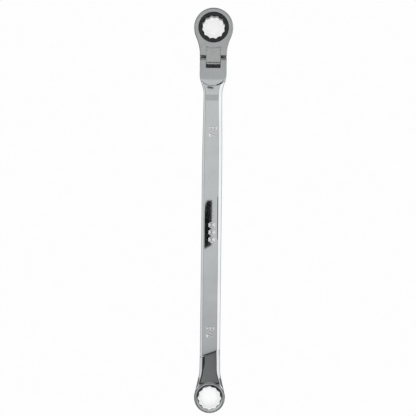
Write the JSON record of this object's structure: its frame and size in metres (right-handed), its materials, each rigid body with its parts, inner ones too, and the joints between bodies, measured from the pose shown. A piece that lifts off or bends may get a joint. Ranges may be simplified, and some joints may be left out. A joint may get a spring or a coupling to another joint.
{
  "type": "ratchet wrench",
  "caption": "Long flex-head ratcheting box wrench: a pivoting ratchet box at one end, a cranked fixed box at the other, on a bevelled chrome bar.",
  "frame": {"origin": "centre of the ratchet opening, halfway through the thickness of the head", "axes": "+Z along the ratchet opening's axis, out of the marked face; +Y from the shank toward the head's end; +X across the wrench, along the flex joint's pin"},
  "size_m": [0.0428, 0.4465, 0.02],
  "materials": {
    "polished_chrome": "polished chrome plate",
    "satin_chrome": "satin chrome plate",
    "black_oxide_steel": "black oxide, oiled",
    "spring_steel": "bright spring steel"
  },
  "bodies": {
    "shank": {"shank": "polished_chrome", "pivot_screw": "black_oxide_steel"},
    "head": {"ratchet_head": "satin_chrome", "snap_ring": "spring_steel", "friction_washer_left": "spring_steel", "friction_washer_right": "spring_steel", "pawl_spring": "spring_steel"},
    "ring": {"ratchet_ring": "black_oxide_steel"},
    "pawl": {"pawl": "black_oxide_steel", "pawl_plunger": "spring_steel"}
  },
  "joints": [
    {"name": "head_flex", "type": "hinge", "parent": "shank", "child": "head", "pos_m": [0, -0.0371, 0], "axis": [1, 0, 0], "range_deg": [-90, 90]},
    {"name": "ring_spin", "type": "hinge", "parent": "head", "child": "ring", "pos_m": [0, 0, 0], "axis": [0, 0, 1], "continuous": true},
    {"name": "pawl_slide", "type": "slide", "parent": "head", "child": "pawl", "axis": [0, -1, 0], "range_m": [0, 0.0009], "stiffness_N_per_m": 400, "springref_m": -0.003, "deforming": ["pawl_spring"]}
  ]
}
